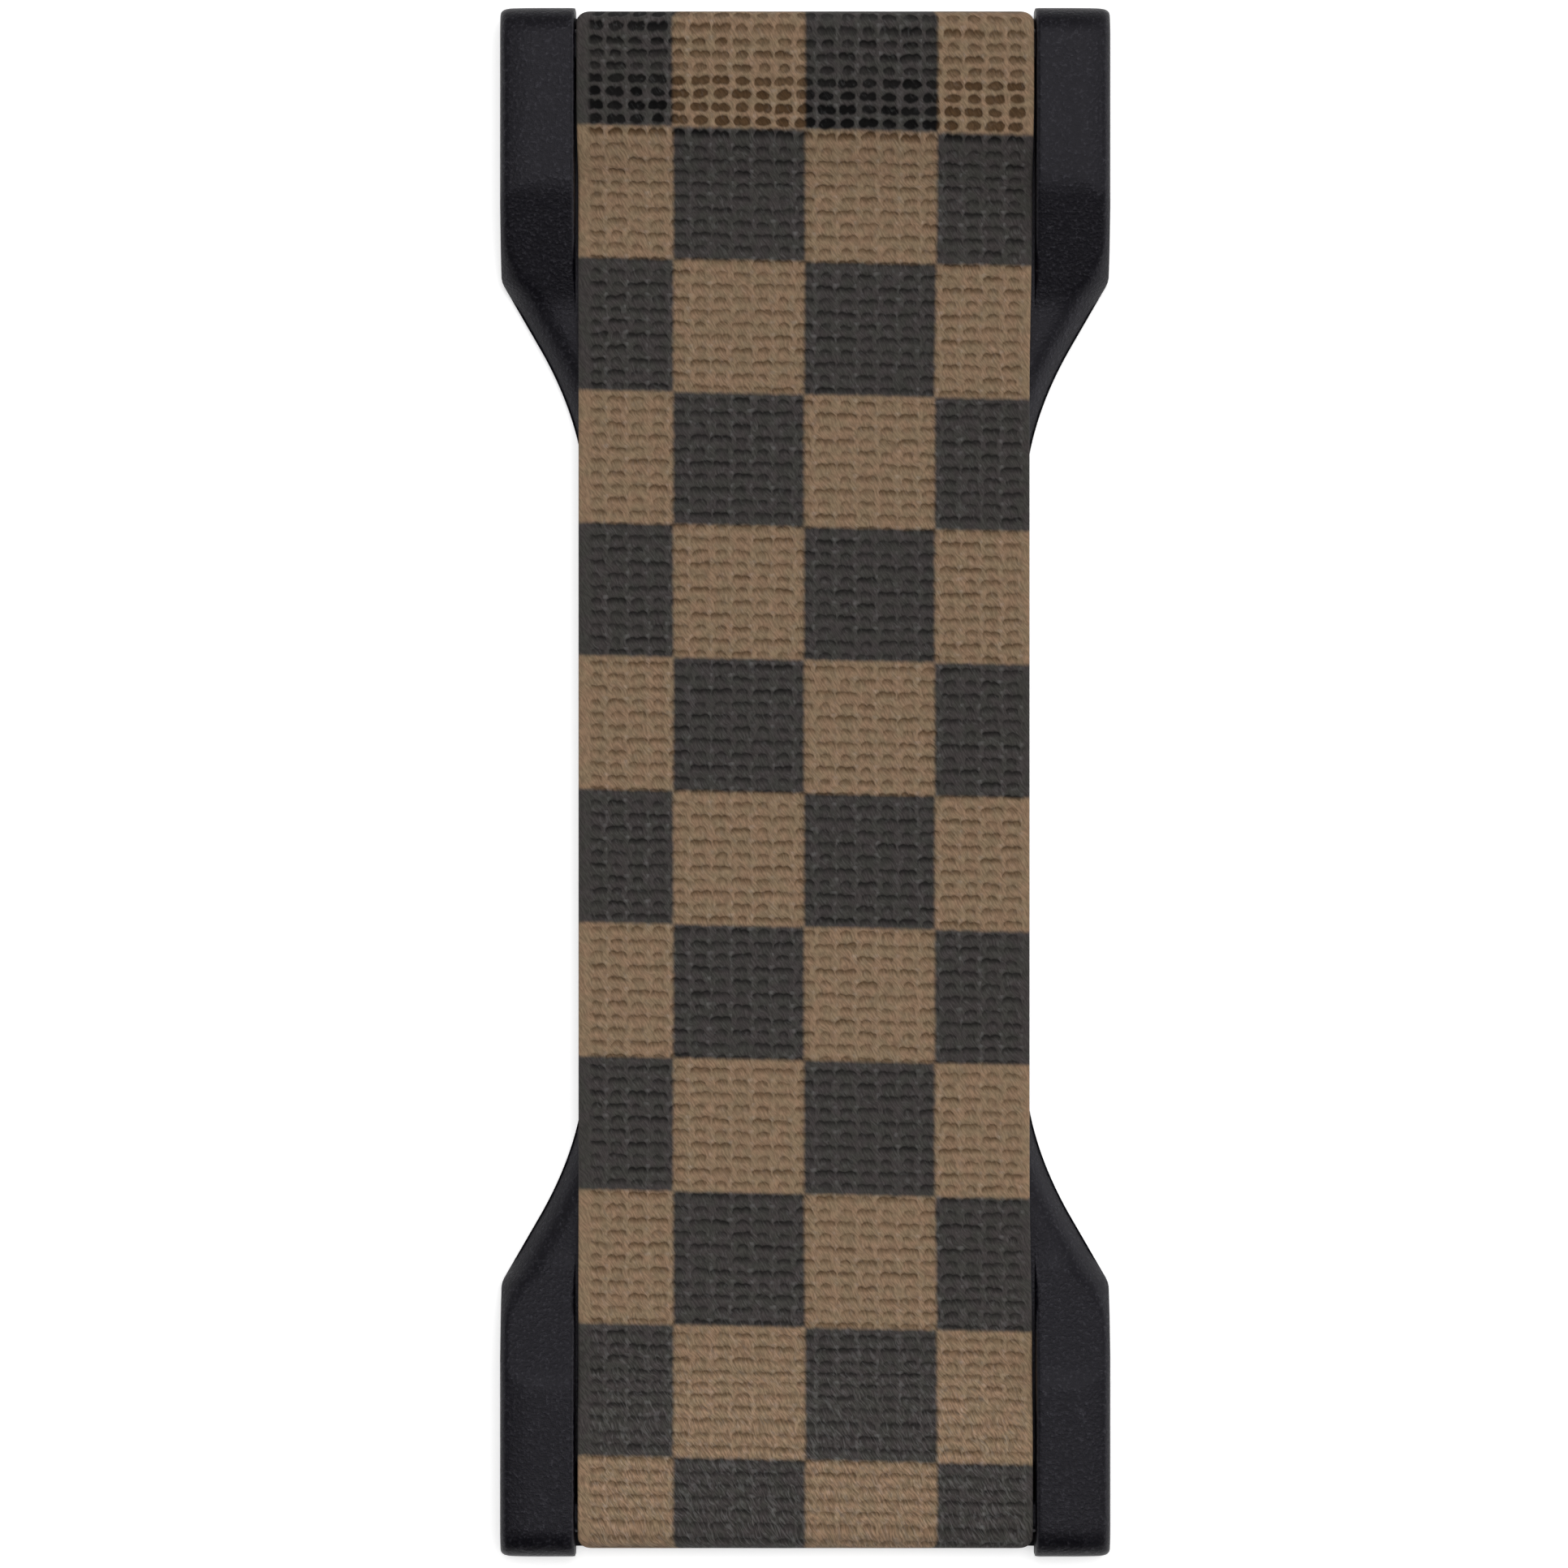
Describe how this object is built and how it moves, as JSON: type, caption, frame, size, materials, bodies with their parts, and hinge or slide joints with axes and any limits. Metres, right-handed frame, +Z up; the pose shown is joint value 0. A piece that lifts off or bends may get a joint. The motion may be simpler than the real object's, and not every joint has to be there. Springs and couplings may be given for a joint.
{
  "type": "phone finger strap",
  "caption": "Flat stick-on finger strap for the back of a phone: a printed woven elastic band looped round the end bars of a moulded plate with raised corner ears and a foam tape underside.",
  "frame": {"origin": "middle of the adhesive underside", "axes": "+X across the strap, +Y along the strap, +Z up from the phone, out of the strap's printed face"},
  "size_m": [0.038, 0.0966, 0.0041],
  "materials": {
    "moulding": "black moulded plastic with a fine satin grain",
    "elastic": "woven elastic printed with a tan and charcoal check, matt",
    "foam_tape": "black foam tape, tacky underside"
  },
  "bodies": {
    "root": {"base_frame": "moulding", "elastic_strap": "elastic", "adhesive_pad": "foam_tape"}
  },
  "joints": []
}
